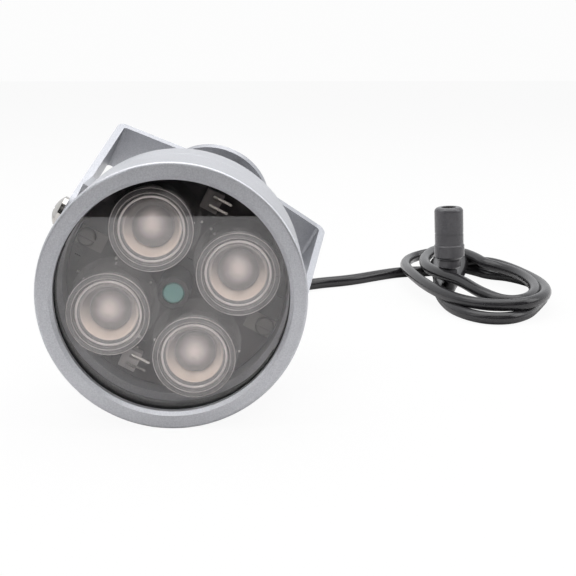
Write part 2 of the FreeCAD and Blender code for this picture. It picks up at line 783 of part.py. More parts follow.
def make_gland_parts():
    """Gland body, its flat seal, lock nut, dome cap and the rubber bush that grips the cord."""
    rear = -lamp_length
    seal = size["gasket_thickness"]
    thread = size["gland_thread"]
    collar_top = rear - seal
    collar_low = collar_top - size["gland_collar"]
    nut_top = -floor_depth + size["gland_nut_thickness"]
    cap_low = collar_low - size["cap_length"]
    seat_low = cap_low + size["cap_wall"]
    thread_top = nut_top + size["thread_end"]
    thread_low = seat_low + size["seat_height"]
    mouth = size["cap_mouth"]

    body = new_body("gland_body")
    turn_profile(body, "turning", [
        (mouth, thread_top),
        (thread, thread_top),
        (thread, thread_low),
        (mouth + size["seat_width"], thread_low),
        (mouth, thread_low + size["seat_width"]),
    ])
    hexagon = new_sketch(body, "XY_Plane", "collar_outline", collar_low)
    draw_hexagon(hexagon, size["gland_flats"])
    draw_circle(hexagon, 0, 0, thread - size["collar_overlap"])
    pad(body, hexagon, size["gland_collar"], "collar")

    washer = flat_ring("gland_seal", size["gland_flats"] / 2, thread + size["fit_gap"], rear, seal)

    nut = new_body("gland_lock_nut")
    outline = new_sketch(nut, "XY_Plane", "nut_outline", -floor_depth)
    draw_hexagon(outline, size["gland_flats"])
    draw_circle(outline, 0, 0, thread + size["fit_gap"])
    pad(nut, outline, size["gland_nut_thickness"], "nut")

    cap = turned_body("gland_cap", [
        (thread + size["fit_gap"], collar_low),
        (thread + size["fit_gap"], seat_low),
        (mouth, seat_low - size["cap_slope"]),
        (mouth, cap_low),
        (mouth + size["cap_flat"], cap_low),
        (size["cap_radius"], cap_low + size["cap_dome"]),
        (size["cap_radius"], collar_low),
    ], {4: (size["cap_round"], -1)})
    bush_low = cap_low + size["bush_set_back"]
    bush = turned_body("gland_bush", [
        (0, bush_low),
        (mouth - size["fit_gap"], bush_low),
        (mouth - size["fit_gap"], thread_low),
        (0, thread_low),
    ])
    return [body, washer, nut, cap, bush]


# Bracket


def make_bracket():
    """One folded strip: two arms with round ends and a base that swells into a disc.

    Its own frame has the pivot axis along X, the sheet's width along Y and the base at negative Z.
    """
    body = new_body("bracket")
    half = size["arm_half_width"]
    reach = size["reach"]
    sheet = size["sheet"]
    bend = size["bend_radius"]
    strip = new_sketch(body, "XZ_Plane", "strip_outline")
    draw_outline(strip, [
        (-arm_outside, half), (-arm_outside, -reach), (arm_outside, -reach), (arm_outside, half),
        (arm_inside, half), (arm_inside, sheet - reach), (-arm_inside, sheet - reach), (-arm_inside, half)])
    pad(body, strip, half * 2, "strip", middle=True)

    base = new_sketch(body, "XY_Plane", "base_outline", -reach)
    edge_x = arm_outside - sheet - bend
    wing_x = size["wing_place"]
    wing_y = size["wing_half_width"]
    draw_outline(base, [
        (-edge_x, -half), (-wing_x, -wing_y), (wing_x, -wing_y), (edge_x, -half),
        (edge_x, half), (wing_x, wing_y), (-wing_x, wing_y), (-edge_x, half)])
    pad(body, base, sheet, "wings")
    disc = new_sketch(body, "XY_Plane", "disc_outline", -reach)
    draw_circle(disc, 0, 0, size["disc_radius"])
    pad(body, disc, sheet, "disc")

    def corner(x, z):
        def wanted(edge):
            middle = edge.BoundBox.Center
            along = edge.BoundBox.YLength > half.value * 1.9
            return along and abs(abs(middle.x) - x.value) < 0.01 and abs(middle.z - z.value) < 0.01
        return wanted

    round_edges(body, bend + sheet, "outer_bends", corner(arm_outside, -reach))
    round_edges(body, bend, "inner_bends", corner(arm_inside, sheet - reach))
    round_edges(body, half - size["fit_gap"], "arm_ends",
                lambda edge: edge.BoundBox.XLength > sheet.value * 0.9
                and edge.BoundBox.YLength < 0.01 and edge.BoundBox.ZMin > half.value - 0.01)

    pivots = new_sketch(body, "YZ_Plane", "pivots_outline")
    draw_circle(pivots, 0, 0, size["screw_radius"] + size["running_gap"])
    pocket(body, pivots, (arm_outside + sheet) * 2, "pivots", middle=True)
    holes = new_sketch(body, "XY_Plane", "holes_outline", sheet - reach)
    for index in range(3):
        turn = math.radians(90 + 120 * index)
        spread = size["hole_circle"] / 2
        draw_circle(holes, spread * math.cos(turn), spread * math.sin(turn), size["hole_radius"])
    pocket(body, holes, sheet, "holes")
    return body


def make_pivot_screw(name):
    """Pan-head screw. Height 0 is the underside of its head."""
    grip = size["screw_grip"] + size["sheet"] + size["running_gap"] * 2
    radius = size["head_radius"]
    edge = size["head_edge"]
    rise = size["head_height"] - edge
    tip = size["edge_break"]
    arm = size["recess_arm"]
    wide = size["recess_width"] / 2
    sphere = (radius * radius + rise * rise) / (rise * 2)
    body = turned_body(name, [
        (0, -grip), (size["screw_radius"] - tip, -grip), (size["screw_radius"], -grip + tip),
        (size["screw_radius"], 0), (radius, 0), (radius, edge), (0, edge + rise)], {5: (sphere, -1)})
    cross = new_sketch(body, "XY_Plane", "cross_outline", size["head_height"])
    draw_outline(cross, [
        (wide, -arm), (wide, -wide), (arm, -wide), (arm, wide), (wide, wide), (wide, arm),
        (-wide, arm), (-wide, wide), (-arm, wide), (-arm, -wide), (-wide, -wide), (-wide, -arm)])
    pocket(body, cross, size["recess_depth"], "cross_recess")
    return body


# Cord and power socket

# The cord's route behind the gland, down to the table and across it to the coil. The gland's own
# place gives the first point.
CORD_ROUTE = [
    (-3.8, 19.9, 34.0),
    (-3.8, 28.3, 26.9),
    (-3.6, 35.3, 14.8),
    (-2.6, 46.2, 9.7),
    (1.5, 64.0, 4.6),
    (9.5, 84.0, 2.3),
    (22.0, 108.0, 2.3),
    (40.5, 124.0, 2.3),
    (56.0, 129.5, 2.3),
    (69.6, 140.0, 2.3),
    (80.0, 146.5, 2.3),
]
COIL_CENTRE = (106.0, 119.5)
SOCKET_FOOT = (93.5, 109.3)


def make_cord_tube(start):
    """Straight runs joined by the largest arcs that each pair of runs allows."""
    route = [start] + [Vector(*point) for point in CORD_ROUTE]
    edges = []
    radii = []
    here = route[0]
    for before, corner, after in zip(route, route[1:], route[2:]):
        back = before - corner
        ahead = after - corner
        trim = 0.45 * min(back.Length, ahead.Length)
        half_turn = (math.pi - back.getAngle(ahead)) / 2
        radii.append(trim / math.tan(half_turn))
        back.normalize()
        ahead.normalize()
        enter = corner + back * trim
        leave = corner + ahead * trim
        towards_centre = (back + ahead).normalize()
        centre_distance = math.hypot(trim, radii[-1])
        middle = corner + towards_centre * (centre_distance - radii[-1])
        edges.append(Part.LineSegment(here, enter).toShape())
        edges.append(Part.Arc(enter, middle, leave).toShape())
        here = leave
    edges.append(Part.LineSegment(here, route[-1]).toShape())
    path = Part.Wire(edges)
    first_run = route[1] - route[0]
    section = Part.Wire(Part.makeCircle(size["cord_radius"].value, route[0], first_run))
    tube = path.makePipeShell([section], True, False)
    expected = math.pi * size["cord_radius"].value ** 2 * path.Length
    print("cord radii:", [round(radius, 1) for radius in radii])
    print("cord tube: length %.1f, volume %.1f against %.1f" % (path.Length, tube.Volume, expected))
    feature = doc.addObject("Part::Feature", "cord_tube")
    feature.Label = "cord_tube"
    feature.Shape = tube
    return feature


def long_disc(half_length, half_width, height):
    """Upright prism over two straight sides with a half circle at each end, long along Y."""
    straight = half_length - half_width
    edges = []
    for side in (1, -1):
        end = Vector(0, straight * side, 0)
        start = end + Vector(half_width * side, 0, 0)
        tip = end + Vector(0, half_width * side, 0)
        finish = end - Vector(half_width * side, 0, 0)
        edges.append(Part.Arc(start, tip, finish).toShape())
        edges.append(Part.LineSegment(finish, finish - Vector(0, 2 * straight * side, 0)).toShape())
    return Part.Face(Part.Wire(edges)).extrude(Vector(0, 0, height))


def make_cord_coil():
    """Outer shape of the three loose turns of cord: a long flat ring lying on the table."""
    long, wide = size["coil_half_length"].value, size["coil_half_width"].value
    band, stack = size["coil_band"].value, size["coil_stack"].value
    outside = long_disc(long, wide, stack)
    rims = [edge for edge in outside.Edges if abs(edge.BoundBox.ZLength) < stack / 2]
    outside = outside.makeFillet(size["cord_radius"].value, rims)
    feature = doc.addObject("Part::Feature", "cord_coil")
    feature.Label = "cord_coil"
    feature.Shape = outside.cut(long_disc(long - band, wide - band, stack)).Solids[0]
    feature.Placement = Placement(Vector(*COIL_CENTRE, 0), Rotation())
    return feature


def make_socket_parts():
    """Inline power socket: strain relief, body, metal sleeve and contact pin. Height 0 is its foot."""
    relief = size["relief_length"]
    foot = size["relief_foot"]
    outer = size["relief_radius"]
    groove = size["relief_groove"]
    edge = size["edge_break"]
    lower = size["relief_lower"]
    middle = lower + size["relief_gap"]
    upper = relief - size["relief_gap"]
    relief_body = turned_body("socket_relief", [
        (0, 0), (foot - edge, 0), (foot, edge), (foot, lower), (foot - groove, lower),
        (foot - groove, middle), (outer - edge, middle), (outer, middle + edge), (outer, upper),
        (outer - groove, upper), (outer - groove, relief), (0, relief)])
    top = relief + size["socket_length"]
    bore = size["socket_bore"]
    radius = size["socket_radius"]
    swell = size["socket_swell"]
    swell_edge = size["swell_round"]
    swell_top = relief + size["swell_length"]
    line_low = relief + size["line_place"]
    line_top = line_low + size["line_width"]
    line_radius = radius - size["line_depth"]
    rounding = size["socket_round"]
    floor = top - size["socket_depth"]
    body = turned_body("socket_body", [
        (0, relief), (swell - swell_edge, relief), (swell, relief + swell_edge), (swell, swell_top),
        (radius, swell_top + edge), (radius, line_low), (line_radius, line_low), (line_radius, line_top),
        (radius, line_top), (radius, top - rounding), (radius - rounding, top), (bore, top),
        (bore, floor), (0, floor)], {9: (rounding, -1)})
    sleeve_outer = bore - size["fit_gap"]
    sleeve_inner = sleeve_outer - size["sleeve_wall"]
    sleeve_top = top - size["sleeve_set_back"]
    sleeve = flat_ring("socket_sleeve", sleeve_outer, sleeve_inner, sleeve_top, sleeve_top - floor)
    pin_top = floor + size["pin_length"]
    pin_radius = size["centre_pin"]
    pin = turned_body("socket_pin", [
        (0, floor), (pin_radius, floor), (pin_radius, pin_top - edge), (pin_radius - edge, pin_top),
        (0, pin_top)])
    return [relief_body, body, sleeve, pin]


# Assembly

lamp_height = barrel_radius.value
roll = math.radians(size["roll"].value)
across = Vector(math.cos(roll), 0, -math.sin(roll))
upward = Vector(math.sin(roll), 0, math.cos(roll))
lamp_turn = Rotation(across, upward, Vector(0, -1, 0), "ZXY")


def lamp_place(x, y):
    """Placement of the lamp's own frame for a front face centred over (x, y)."""
    return Placement(Vector(x, y, lamp_height), lamp_turn)


def on_board(centre):
    return Placement(centre + Vector(0, 0, -board_depth.value), Rotation())


def build_lamp():
    """Make every piece of lamp and bracket and return them with their places in the lamp's frame."""
    still = Placement()
    pieces = [(make_front_barrel(), still), (make_rear_shell(), still)]
    pieces += [(piece, still) for piece in make_window_parts()]
    seam = size["barrel_length"].value
    ring_height = size["spigot_length"].value / 2 - seam
    pieces.append((make_shell_ring(), Placement(Vector(0, 0, ring_height), Rotation())))
    pieces.append((make_lamp_board(), still))
    for number, angle in enumerate(lens_angles(), start=1):
        place = on_board(lens_centre(angle))
        pieces += [(make_lens(number), place), (make_emitter(number), place), (make_reflector(number), place)]
    pieces += [(piece, on_board(Vector())) for piece in make_sensor_parts()]
    for side, name in ((1, "terminal_block_upper"), (-1, "terminal_block_lower")):
        pieces.append((make_terminal_block(name), on_board(Vector(0, block_place.value * side, 0))))
    pieces += [(make_terminal_pins(), still), (make_board_screws(), still), (make_screw_tabs(), still)]
    pieces.append((make_surface_parts(), still))
    board, spacers, choke, can, leads = make_driver_parts()
    pieces += [(board, still), (spacers, still), (leads, still)]
    pieces.append((choke, Placement(Vector(*CHOKE_PLACE, 0), Rotation())))
    pieces.append((can, Placement(Vector(*CAPACITOR_PLACE, 0), Rotation())))
    pieces += [(piece, still) for piece in make_gland_parts()]
    pivot = Placement(Vector(0, 0, -pivot_depth.value), Rotation())
    tilt = Placement(Vector(), Rotation(Vector(1, 0, 0), size["pitch"].value))
    pieces.append((make_bracket(), pivot.multiply(tilt)))
    head_seat = arm_outside.value + size["running_gap"].value
    for side, name in ((-1, "pivot_screw_left"), (1, "pivot_screw_right")):
        outwards = Placement(Vector(head_seat * side, 0, 0), Rotation(Vector(0, 1, 0), 90 * side))
        pieces.append((make_pivot_screw(name), pivot.multiply(outwards)))
    return pieces


def stand_on_origin(pieces):
    """Place all pieces so that the origin lies under the middle of their common box."""
    doc.recompute()
    whole = FreeCAD.BoundBox()
    for piece, place in pieces:
        shape = piece.Shape.copy()
        shape.Placement = lamp_place(0, 0).multiply(place)
        whole.add(shape.optimalBoundingBox(False))
    home = lamp_place(-whole.Center.x, -whole.Center.y)
    for piece, place in pieces:
        piece.Placement = home.multiply(place)
    return home


def build_cord():
    """Make the cord, its coil and the power socket, already in their places on the table."""
    gland_length = size["gasket_thickness"] + size["gland_collar"] + size["cap_length"]
    bush_back = lamp_length + gland_length - size["bush_set_back"]
    start = home.multVec(Vector(0, 0, -bush_back.value))
    pieces = [make_cord_tube(start), make_cord_coil()]
    lean = size["socket_lean"].value
    lift = size["relief_foot"].value * math.sin(math.radians(lean))
    foot = Placement(Vector(*SOCKET_FOOT, size["coil_stack"].value + lift), Rotation(Vector(0, -1, 0), lean))
    for piece in make_socket_parts():
        piece.Placement = foot
        pieces.append(piece)
    return pieces


def check_and_export(pieces):
    """Refuse failed features and bad shapes, then write one file for each piece."""
    doc.recompute()
    for thing in doc.Objects:
        if "Invalid" in thing.State or "Error" in thing.State:
            raise RuntimeError("%s failed: %s" % (thing.Label, thing.State))
    for piece in pieces:
        if piece.Shape.isNull() or not piece.Shape.isValid() or not piece.Shape.Solids:
            raise RuntimeError("%s has a bad shape" % piece.Label)
    os.makedirs("parts", exist_ok=True)
    for piece in pieces:
        piece.Shape.exportStep("parts/%s.step" % piece.Label)


lamp_pieces = build_lamp()
home = stand_on_origin(lamp_pieces)
print("lamp front face centre:", home.Base)
check_and_export([piece for piece, place in lamp_pieces] + build_cord())
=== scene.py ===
"""Looks of an infrared illuminator: four clear bell lenses behind glass in a silver barrel.

Everything is in metres in the model's own frame: +Z up, the window facing -Y, the table at z = 0.
"""
import math

import bmesh
import bpy
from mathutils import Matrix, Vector


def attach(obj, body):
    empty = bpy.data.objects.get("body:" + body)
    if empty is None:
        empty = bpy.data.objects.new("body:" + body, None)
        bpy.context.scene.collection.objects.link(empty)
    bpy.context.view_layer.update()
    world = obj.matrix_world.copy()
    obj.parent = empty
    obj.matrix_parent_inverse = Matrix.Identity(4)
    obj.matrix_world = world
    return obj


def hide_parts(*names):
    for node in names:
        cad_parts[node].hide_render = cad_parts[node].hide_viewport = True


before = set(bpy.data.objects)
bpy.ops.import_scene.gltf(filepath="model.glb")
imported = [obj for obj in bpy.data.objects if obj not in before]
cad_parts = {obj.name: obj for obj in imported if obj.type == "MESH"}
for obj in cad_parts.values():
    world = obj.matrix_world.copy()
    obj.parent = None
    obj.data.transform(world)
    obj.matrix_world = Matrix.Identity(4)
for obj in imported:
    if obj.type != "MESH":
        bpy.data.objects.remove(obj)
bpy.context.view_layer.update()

MM = 0.001
scene = bpy.context.scene

# The lamp's own frame: X along the bracket's pivots, Z out of the window, rolled over as the lamp lies
LAMP_ROLL = math.radians(28.0)
LAMP_FACE = Vector((-3.846, -41.208, 34.0)) * MM
ACROSS_AXIS = (1, 0, 1)
# Places in that frame, in millimetres: the lenses' axes, the barrel's bore and lip, the board and the lenses
LENS_PLACE = 17.297
BORE_RADIUS = 31.9
LIP_DEPTH = 2.75
BOARD_FRONT = -22.0
LENS_FRONT = BOARD_FRONT + 16.4

# Sizes of the surface patterns in millimetres. Real flakes are too fine to show, so they are drawn coarser
FLAKE_SIZE = 0.35
PEEL_SIZE = 0.9
LACQUER_CLOUD = 9
GLASS_WAVE = 14
TRACK_CELL = 3.4
RESIN_CLOUD = 2.5
FILM_MOTTLE = 1.8
FELT_FIBRE = 2
TABLE_CLOUD = 40


# Colours and nodes


def srgb(hex_colour):
    """Linear colour from an sRGB hex value such as "#8c8f94"."""
    channels = [int(hex_colour[place:place + 2], 16) / 255 for place in (1, 3, 5)]
    linear = [c / 12.92 if c <= 0.04045 else ((c + 0.055) / 1.055) ** 2.4 for c in channels]
    return (*linear, 1.0)


def add(tree, kind, inputs=None, **settings):
    """Add a node, set its properties, and set or link its sockets by name or number."""
    node = tree.nodes.new(kind)
    for name, value in settings.items():
        setattr(node, name, value)
    for socket, value in (inputs or {}).items():
        if isinstance(value, bpy.types.NodeSocket):
            tree.links.new(value, node.inputs[socket])
        else:
            node.inputs[socket].default_value = value
    return node


def new_material(name):
    """An empty node material with its output, and the object's own coordinates in metres."""
    material = bpy.data.materials.new(name)
    material.use_nodes = True
    tree = material.node_tree
    tree.nodes.clear()
    output = add(tree, "ShaderNodeOutputMaterial")
    place = add(tree, "ShaderNodeTexCoord").outputs["Object"]
    return material, tree, output, place


def per(millimetres):
    """Texture scale that repeats about once in this many millimetres."""
    return 1 / (millimetres * MM)


# Metals


def inside_barrel(tree, place):
    """1 in the barrel's bore behind its lip, 0 on the rest of the lamp."""
    moved = add(tree, "ShaderNodeVectorMath", {0: place, 1: tuple(LAMP_FACE)}, operation="SUBTRACT")
    split = add(tree, "ShaderNodeSeparateXYZ", {"Vector": moved.outputs[0]})
    flat = add(tree, "ShaderNodeVectorMath", {0: moved.outputs[0], 1: ACROSS_AXIS}, operation="MULTIPLY")
    away = add(tree, "ShaderNodeVectorMath", {0: flat.outputs[0]}, operation="LENGTH")
    near = add(tree, "ShaderNodeMath", {0: away.outputs["Value"], 1: BORE_RADIUS * MM}, operation="LESS_THAN")
    deep = add(tree, "ShaderNodeMath", {0: split.outputs["Y"], 1: LIP_DEPTH * MM}, operation="GREATER_THAN")
    both = add(tree, "ShaderNodeMath", {0: near.outputs[0], 1: deep.outputs[0]}, operation="MULTIPLY")
    return both.outputs[0]


def silver_lacquer(name, body_hex, flake_hex, roughness, black_bore=False):
    """Silver stove lacquer: fine bright flakes, soft sheen, low orange peel; a bore may be black."""
    material, tree, output, place = new_material(name)
    flake = add(tree, "ShaderNodeTexNoise", {
        "Vector": place, "Scale": per(FLAKE_SIZE), "Detail": 2.0, "Roughness": 0.7})
    cloud = add(tree, "ShaderNodeTexNoise", {"Vector": place, "Scale": per(LACQUER_CLOUD), "Detail": 2.0})
    spread = add(tree, "ShaderNodeMapRange", {
        "Value": flake.outputs["Fac"], "From Min": 0.35, "From Max": 0.68})
    colour = add(tree, "ShaderNodeMix", {
        "Factor": spread.outputs["Result"], 6: srgb(body_hex), 7: srgb(flake_hex)}, data_type="RGBA")
    paint = colour.outputs[2]
    if black_bore:
        blackened = add(tree, "ShaderNodeMix", {
            "Factor": inside_barrel(tree, place), 6: paint, 7: srgb("#121212")}, data_type="RGBA")
        paint = blackened.outputs[2]
    rough = add(tree, "ShaderNodeMapRange", {
        "Value": cloud.outputs["Fac"], "From Min": 0.3, "From Max": 0.7,
        "To Min": roughness - 0.03, "To Max": roughness + 0.04})
    peel = add(tree, "ShaderNodeTexNoise", {"Vector": place, "Scale": per(PEEL_SIZE), "Detail": 1.0})
    height = add(tree, "ShaderNodeMath", {0: peel.outputs["Fac"], 1: flake.outputs["Fac"]}, operation="ADD")
    bump = add(tree, "ShaderNodeBump", {
        "Height": height.outputs[0], "Strength": 0.25, "Distance": 0.012 * MM})
    surface = add(tree, "ShaderNodeBsdfPrincipled", {
        "Base Color": paint, "Metallic": 0.8, "Roughness": rough.outputs["Result"],
        "Normal": bump.outputs["Normal"]})
    tree.links.new(surface.outputs[0], output.inputs["Surface"])
    return material


def plated_metal(name, hex_colour, roughness, grain_mm):
    """Bare or plated metal: bright, with faint tool marks that break up its highlights."""
    material, tree, output, place = new_material(name)
    marks = add(tree, "ShaderNodeTexNoise", {"Vector": place, "Scale": per(grain_mm), "Detail": 3.0})
    rough = add(tree, "ShaderNodeMapRange", {
        "Value": marks.outputs["Fac"], "To Min": roughness * 0.7, "To Max": roughness * 1.4})
    bump = add(tree, "ShaderNodeBump", {
        "Height": marks.outputs["Fac"], "Strength": 0.15, "Distance": 0.01 * MM})
    surface = add(tree, "ShaderNodeBsdfPrincipled", {
        "Base Color": srgb(hex_colour), "Metallic": 1.0, "Roughness": rough.outputs["Result"],
        "Normal": bump.outputs["Normal"]})
    tree.links.new(surface.outputs[0], output.inputs["Surface"])
    return material


# Clear pieces


def clear_piece(name, hex_colour, ior, roughness, haze=0.0):
    """Polished glass or acrylic: clear, with sharp reflections of the table in front of it."""
    material, tree, output, place = new_material(name)
    waves = add(tree, "ShaderNodeTexNoise", {"Vector": place, "Scale": per(GLASS_WAVE), "Detail": 1.0})
    bump = add(tree, "ShaderNodeBump", {
        "Height": waves.outputs["Fac"], "Strength": 0.1, "Distance": 0.02 * MM})
    surface = add(tree, "ShaderNodeBsdfPrincipled", {
        "Base Color": srgb(hex_colour), "Roughness": roughness, "IOR": ior,
        "Transmission Weight": 1.0 - haze, "Normal": bump.outputs["Normal"]})
    tree.links.new(surface.outputs[0], output.inputs["Surface"])
    return material


# Plastics, rubber and board


def moulded_plastic(name, low_hex, high_hex, roughness, grain_mm, relief_mm=0.01, ior=1.53):
    """Moulded plastic or rubber: slight clouding of colour and a fine spark-eroded grain."""
    material, tree, output, place = new_material(name)
    cloud = add(tree, "ShaderNodeTexNoise", {"Vector": place, "Scale": per(grain_mm * 12), "Detail": 3.0})
    colour = add(tree, "ShaderNodeMix", {
        "Factor": cloud.outputs["Fac"], 6: srgb(low_hex), 7: srgb(high_hex)}, data_type="RGBA")
    grain = add(tree, "ShaderNodeTexNoise", {"Vector": place, "Scale": per(grain_mm), "Detail": 2.0})
    rough = add(tree, "ShaderNodeMapRange", {
        "Value": grain.outputs["Fac"], "To Min": roughness - 0.06, "To Max": roughness + 0.06})
    bump = add(tree, "ShaderNodeBump", {
        "Height": grain.outputs["Fac"], "Strength": 0.3, "Distance": relief_mm * MM})
    surface = add(tree, "ShaderNodeBsdfPrincipled", {
        "Base Color": colour.outputs[2], "Roughness": rough.outputs["Result"], "IOR": ior,
        "Normal": bump.outputs["Normal"]})
    tree.links.new(surface.outputs[0], output.inputs["Surface"])
    return material


def solder_mask(name, mask_hex, track_hex):
    """Black solder mask over copper: the tracks show as slightly lighter, slightly raised bands."""
    material, tree, output, place = new_material(name)
    cells = add(tree, "ShaderNodeTexVoronoi", {
        "Vector": place, "Scale": per(TRACK_CELL)}, distance="MANHATTAN")
    track = add(tree, "ShaderNodeMapRange", {
        "Value": cells.outputs["Distance"], "From Min": 0.45, "From Max": 0.5})
    colour = add(tree, "ShaderNodeMix", {
        "Factor": track.outputs["Result"], 6: srgb(mask_hex), 7: srgb(track_hex)}, data_type="RGBA")
    bump = add(tree, "ShaderNodeBump", {
        "Height": track.outputs["Result"], "Strength": 0.4, "Distance": 0.03 * MM})
    surface = add(tree, "ShaderNodeBsdfPrincipled", {
        "Base Color": colour.outputs[2], "Roughness": 0.32, "IOR": 1.5, "Normal": bump.outputs["Normal"]})
    tree.links.new(surface.outputs[0], output.inputs["Surface"])
    return material


def beside_lens(tree, place):
    """Offset of a point from the axis of the nearest lens, along the world's axes."""
    moved = add(tree, "ShaderNodeVectorMath", {0: place, 1: tuple(LAMP_FACE)}, operation="SUBTRACT")
    turned = add(tree, "ShaderNodeVectorRotate", {
        "Vector": moved.outputs[0], "Angle": -LAMP_ROLL}, rotation_type="Y_AXIS")
    quarter = add(tree, "ShaderNodeVectorMath", {0: turned.outputs[0]}, operation="SIGN")
    reach = LENS_PLACE * MM / math.sqrt(2)
    centre = add(tree, "ShaderNodeVectorMath", {
        0: quarter.outputs[0], 1: (reach, 0, reach)}, operation="MULTIPLY")
    offset = add(tree, "ShaderNodeVectorMath", {
        0: turned.outputs[0], 1: centre.outputs[0]}, operation="SUBTRACT")
    flat = add(tree, "ShaderNodeVectorMath", {0: offset.outputs[0], 1: ACROSS_AXIS}, operation="MULTIPLY")
    back = add(tree, "ShaderNodeVectorRotate", {
        "Vector": flat.outputs[0], "Angle": LAMP_ROLL}, rotation_type="Y_AXIS")
    return back.outputs[0]


def resin_with_painted_highlight(name, dark_rim_hex, highlight_hex, highlight_radius, dark_rim_radius, lift):
    """Resin over the chips: a pale painted highlight a little above its middle, darkening to a painted dark
    reflection at its rim.
    """
    material, tree, output, place = new_material(name)
    # The painted highlight is centred lift millimetres above the nearest lens's axis
    offset = add(tree, "ShaderNodeVectorMath", {
        0: beside_lens(tree, place), 1: (0, 0, lift * MM)}, operation="SUBTRACT")
    away = add(tree, "ShaderNodeVectorMath", {0: offset.outputs[0]}, operation="LENGTH")
    cloud = add(tree, "ShaderNodeTexNoise", {"Vector": place, "Scale": per(RESIN_CLOUD), "Detail": 3.0})
    # Painted light: pale at the highlight's middle, dark towards the rim
    share = add(tree, "ShaderNodeMapRange", {
        "Value": away.outputs["Value"], "From Min": highlight_radius * MM, "From Max": dark_rim_radius * MM},
        interpolation_type="SMOOTHSTEP")
    blend = add(tree, "ShaderNodeMath", {
        0: cloud.outputs["Fac"], 1: 0.12, 2: share.outputs["Result"]},
        operation="MULTIPLY_ADD", use_clamp=True)
    colour = add(tree, "ShaderNodeMix", {
        "Factor": blend.outputs[0], 6: srgb(highlight_hex), 7: srgb(dark_rim_hex)}, data_type="RGBA")
    surface = add(tree, "ShaderNodeBsdfPrincipled", {
        "Base Color": colour.outputs[2], "Roughness": 0.28, "Metallic": 0.2})
    tree.links.new(surface.outputs[0], output.inputs["Surface"])
    return material


def reflector_painted_shade(name, low_hex, high_hex, reach):
    """Cream bowl of a reflector with painted shade: cream low in the bowl, a painted dark shade high in it.
    """
    material, tree, output, place = new_material(name)
    split = add(tree, "ShaderNodeSeparateXYZ", {"Vector": beside_lens(tree, place)})
    mottle = add(tree, "ShaderNodeTexNoise", {"Vector": place, "Scale": per(FILM_MOTTLE), "Detail": 4.0})
    # Painted shade: the colour runs from cream low in the bowl to dark high in it
    share = add(tree, "ShaderNodeMapRange", {
        "Value": split.outputs["Z"], "From Min": -reach * MM, "From Max": reach * MM},
        interpolation_type="SMOOTHSTEP")
    blend = add(tree, "ShaderNodeMath", {
        0: mottle.outputs["Fac"], 1: 0.10, 2: share.outputs["Result"]},
        operation="MULTIPLY_ADD", use_clamp=True)
    colour = add(tree, "ShaderNodeMix", {
        "Factor": blend.outputs[0], 6: srgb(low_hex), 7: srgb(high_hex)}, data_type="RGBA")
    surface = add(tree, "ShaderNodeBsdfPrincipled", {
        "Base Color": colour.outputs[2], "Roughness": 0.3, "Metallic": 0.1})
    tree.links.new(surface.outputs[0], output.inputs["Surface"])
    return material


# Resin over the chips: a painted highlight a little above its middle, darkening to a painted dark reflection
# at the rim
resin_painted_highlight = resin_with_painted_highlight("resin_painted_highlight", "#3f3a3a", "#e6dad5", 0.1, 4.75, 0.8)
# Bright tin on stamped contacts: thin, light strokes on the dark board
tin_plate = plated_metal("tin_plate", "#d8d5ce", 0.2, 0.4)
# Solidified solder: small, soft, nearly white specks
lead_solder = plated_metal("lead_solder", "#f0eeea", 0.6, 0.2)
# Painted highlight on the polished edges of the acrylic lenses: bright metal that sends the room's light back
# as their glint
lens_edge_highlight = plated_metal("lens_edge_painted_highlight", "#f0ecea", 0.4, 0.5)
# Nylon moulded in grey: even and half matt
grey_nylon = moulded_plastic("grey_nylon", "#8f8b89", "#9b9795", 0.42, 0.3)

